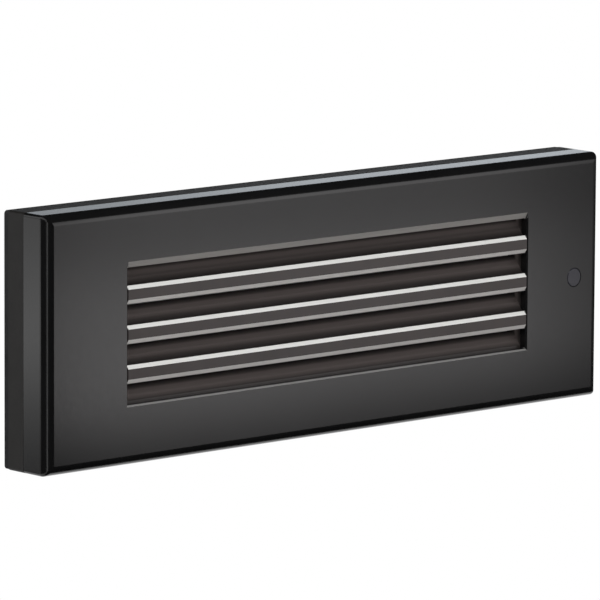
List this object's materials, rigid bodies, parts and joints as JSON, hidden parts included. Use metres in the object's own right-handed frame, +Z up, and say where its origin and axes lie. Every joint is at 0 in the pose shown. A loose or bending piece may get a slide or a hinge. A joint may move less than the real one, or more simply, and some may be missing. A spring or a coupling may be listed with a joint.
{
  "type": "outdoor step light",
  "caption": "Surface-mounted step light: a shallow back box and a black cast cover with a wide louvred opening over a frosted lens, and a photocell window at one end.",
  "frame": {"origin": "middle of the face that lies on the wall, on the foam sheet's rear", "axes": "+X to the right along the light seen from the front, +Y into the wall, +Z up; the front faces -Y"},
  "size_m": [0.2414, 0.0206, 0.0826],
  "materials": {
    "cover_paint": "satin black powder coat on a cast shell",
    "grille_paint": "satin black powder coat, bevelled bar edges cut back to bare aluminium",
    "box_plastic": "matt brown-black moulded polycarbonate",
    "foam": "closed-cell foam",
    "silicone": "grey silicone",
    "thermal_pad": "soft gap filler",
    "led_board_white": "white solder mask on aluminium",
    "led_phosphor": "white package with yellow phosphor",
    "reflector_white": "white polycarbonate",
    "board_green": "green solder mask",
    "zinc_steel": "zinc plated",
    "stainless": "plain stainless",
    "black_oxide_steel": "black coated stainless",
    "ferrite": "ferrite with a copper winding",
    "capacitor_can": "aluminium can in a dark sleeve",
    "chip_black": "moulded epoxy with tinned leads",
    "fuse_brown": "moulded cap",
    "varistor_blue": "dipped epoxy",
    "sensor_clear": "smoked epoxy",
    "rubber_black": "moulded rubber",
    "terminal_white": "off-white polyamide",
    "brass_tinned": "tinned brass",
    "earth_green": "green dyed zinc",
    "lead_green": "PVC insulation",
    "lead_black": "PVC insulation",
    "lead_white": "PVC insulation",
    "lead_red": "PVC insulation",
    "clip_nylon": "natural nylon",
    "lens_frosted": "frosted on the rear",
    "clamp_steel": "pressed galvanised sheet",
    "window_smoked": "smoked polycarbonate light pipe"
  },
  "bodies": {
    "base": {"wall_gasket": "foam", "back_box": "box_plastic", "cover_seal": "silicone", "thermal_pad": "thermal_pad", "led_board": "led_board_white", "led_chips": "led_phosphor", "led_board_screws": "zinc_steel", "reflector": "reflector_white", "driver_board": "board_green", "driver_board_spacers": "clip_nylon", "driver_board_screws": "zinc_steel", "driver_choke": "ferrite", "driver_capacitor": "capacitor_can", "driver_rectifier": "chip_black", "driver_chip": "chip_black", "driver_fuse": "fuse_brown", "driver_varistor": "varistor_blue", "photocell_sensor": "sensor_clear", "photocell_sleeve": "rubber_black", "terminal_block": "terminal_white", "terminal_screws": "zinc_steel", "terminal_block_screw": "zinc_steel", "supply_grommet": "rubber_black", "earth_screw": "earth_green", "earth_tag": "brass_tinned", "earth_lead": "lead_green", "neutral_lead": "lead_white", "live_lead": "lead_black", "led_lead_positive": "lead_red", "led_lead_negative": "lead_black", "lead_clips": "clip_nylon"},
    "cover": {"cover": "cover_paint", "louvre_grille": "grille_paint", "lens_gasket": "silicone", "lens": "lens_frosted", "lens_clamp_frame": "clamp_steel", "clamp_frame_screws": "zinc_steel", "photocell_window": "window_smoked", "photocell_window_seal": "silicone", "cover_nuts": "stainless", "cover_screw_seals": "rubber_black"},
    "cover_screw_left": {"cover_screw_left": "black_oxide_steel"},
    "cover_screw_right": {"cover_screw_right": "black_oxide_steel"}
  },
  "joints": [
    {"name": "cover_pull", "type": "slide", "parent": "base", "child": "cover", "axis": [0, -1, 0], "range_m": [0, 0.03]},
    {"name": "cover_screw_left_turn", "type": "hinge", "parent": "cover", "child": "cover_screw_left", "pos_m": [-0.06, -0.0131, -0.0395], "axis": [0, 0, -1], "range_deg": [0, 1080]},
    {"name": "cover_screw_right_turn", "type": "hinge", "parent": "cover", "child": "cover_screw_right", "pos_m": [0.06, -0.0131, -0.0395], "axis": [0, 0, -1], "range_deg": [0, 1080]}
  ]
}
